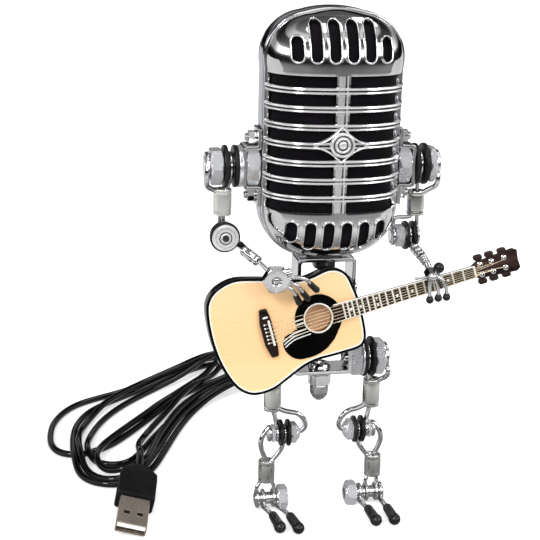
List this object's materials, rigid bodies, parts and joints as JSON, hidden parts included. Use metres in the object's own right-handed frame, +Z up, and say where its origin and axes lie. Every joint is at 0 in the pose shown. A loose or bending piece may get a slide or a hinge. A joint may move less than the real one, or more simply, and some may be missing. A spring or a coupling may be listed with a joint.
{
  "type": "robot shaped desk lamp",
  "caption": "Small robot desk lamp with a chrome vintage-microphone head, bolt, nut and wire limbs that swing, a miniature acoustic guitar in its hands and a corded black USB plug.",
  "frame": {"origin": "centre of the bottom of the lamp's box, on the floor", "axes": "+Z up, -Y the way the robot faces, +X towards the guitar's headstock (the robot's own left)"},
  "size_m": [0.1815, 0.2138, 0.2006],
  "materials": {
    "chrome": "polished",
    "nickel": "satin",
    "dark_nut": "satin",
    "rubber": "satin",
    "liner": "matte",
    "board": "satin",
    "lens": "gloss",
    "holder": "gloss",
    "brass": "polished",
    "spruce": "gloss",
    "guitar_black": "gloss",
    "ivory": "gloss",
    "rosewood": "satin",
    "cable_black": "gloss",
    "plug_black": "satin",
    "plug_shell": "satin",
    "fingertip": "gloss"
  },
  "bodies": {
    "lamp": {"mic_centre_hoop": "chrome", "mic_front_grille": "chrome", "mic_rear_grille": "chrome", "grille_liners": "liner", "grille_badge": "chrome", "lamp_chassis": "nickel", "lamp_holder": "holder", "led_bulb": "lens", "touch_dimmer_board": "board", "inner_leads": "cable_black", "m3_screws": "chrome", "neck_bracket": "chrome", "neck_tube": "chrome", "neck_nuts": "dark_nut", "pelvis_bracket": "chrome", "pelvis_acorn_bolt": "chrome", "guitar_bracket": "nickel", "shoulder_brackets": "chrome", "shoulder_bolts": "chrome", "m8_nuts": "chrome", "friction_washers": "rubber", "hip_studs": "chrome", "guitar_soundboard": "spruce", "guitar_body": "guitar_black", "guitar_pickguard": "guitar_black", "guitar_bridge": "rosewood", "guitar_nut_and_saddle": "ivory", "guitar_neck": "rosewood", "guitar_fretboard": "rosewood", "guitar_frets": "ivory", "guitar_tuners": "chrome", "guitar_strings": "brass", "cable_strain_relief": "plug_black", "cable_run": "cable_black", "cable_hank": "cable_black", "cable_plug_lead": "cable_black", "usb_plug_body": "plug_black", "usb_plug_shell": "plug_shell"},
    "right_arm": {"right_upper_arm": "nickel", "right_elbow_bolt": "chrome", "right_elbow_washers": "rubber"},
    "right_hand": {"right_forearm": "chrome", "right_finger_tips": "fingertip"},
    "right_thigh": {"right_upper_leg": "nickel", "right_knee_bolt": "chrome", "right_knee_washers": "rubber"},
    "right_shin": {"right_lower_leg": "nickel"},
    "right_sole": {"right_foot": "chrome", "right_toe_sleeves": "fingertip"},
    "left_arm": {"left_upper_arm": "nickel", "left_elbow_bolt": "chrome", "left_elbow_washers": "rubber"},
    "left_hand": {"left_forearm": "chrome", "left_finger_tips": "fingertip"},
    "left_thigh": {"left_upper_leg": "nickel", "left_knee_bolt": "chrome", "left_knee_washers": "rubber"},
    "left_shin": {"left_lower_leg": "nickel"},
    "left_sole": {"left_foot": "chrome", "left_toe_sleeves": "fingertip"}
  },
  "joints": [
    {"name": "right_shoulder", "type": "hinge", "parent": "lamp", "child": "right_arm", "pos_m": [-0.01323, 0.00295, 0.141], "axis": [1, 0, 0], "range_deg": [-100, 0]},
    {"name": "right_elbow", "type": "hinge", "parent": "right_arm", "child": "right_hand", "pos_m": [-0.05303, 0.00295, 0.1148], "axis": [0, -1, 0], "range_deg": [-8, 25]},
    {"name": "left_shoulder", "type": "hinge", "parent": "lamp", "child": "left_arm", "pos_m": [-0.01323, 0.00295, 0.141], "axis": [1, 0, 0], "range_deg": [-100, 0]},
    {"name": "left_elbow", "type": "hinge", "parent": "left_arm", "child": "left_hand", "pos_m": [-0.01323, 0.00295, 0.1126], "axis": [1, 0, 0], "range_deg": [-60, 0]},
    {"name": "right_hip", "type": "hinge", "parent": "lamp", "child": "right_thigh", "pos_m": [-0.01323, 0.00295, 0.0631], "axis": [1, 0, 0], "range_deg": [-60, 30]},
    {"name": "right_knee", "type": "hinge", "parent": "right_thigh", "child": "right_shin", "pos_m": [-0.01323, 0.00295, 0.032], "axis": [1, 0, 0], "range_deg": [0, 90]},
    {"name": "right_ankle", "type": "hinge", "parent": "right_shin", "child": "right_sole", "pos_m": [-0.01323, 0.00145, 0.0045], "axis": [1, 0, 0], "range_deg": [-20, 20]},
    {"name": "left_hip", "type": "hinge", "parent": "lamp", "child": "left_thigh", "pos_m": [-0.01323, 0.00295, 0.0631], "axis": [1, 0, 0], "range_deg": [-60, 30]},
    {"name": "left_knee", "type": "hinge", "parent": "left_thigh", "child": "left_shin", "pos_m": [-0.01323, 0.00295, 0.032], "axis": [1, 0, 0], "range_deg": [0, 90]},
    {"name": "left_ankle", "type": "hinge", "parent": "left_shin", "child": "left_sole", "pos_m": [-0.01323, 0.00145, 0.0045], "axis": [1, 0, 0], "range_deg": [-20, 20]}
  ]
}
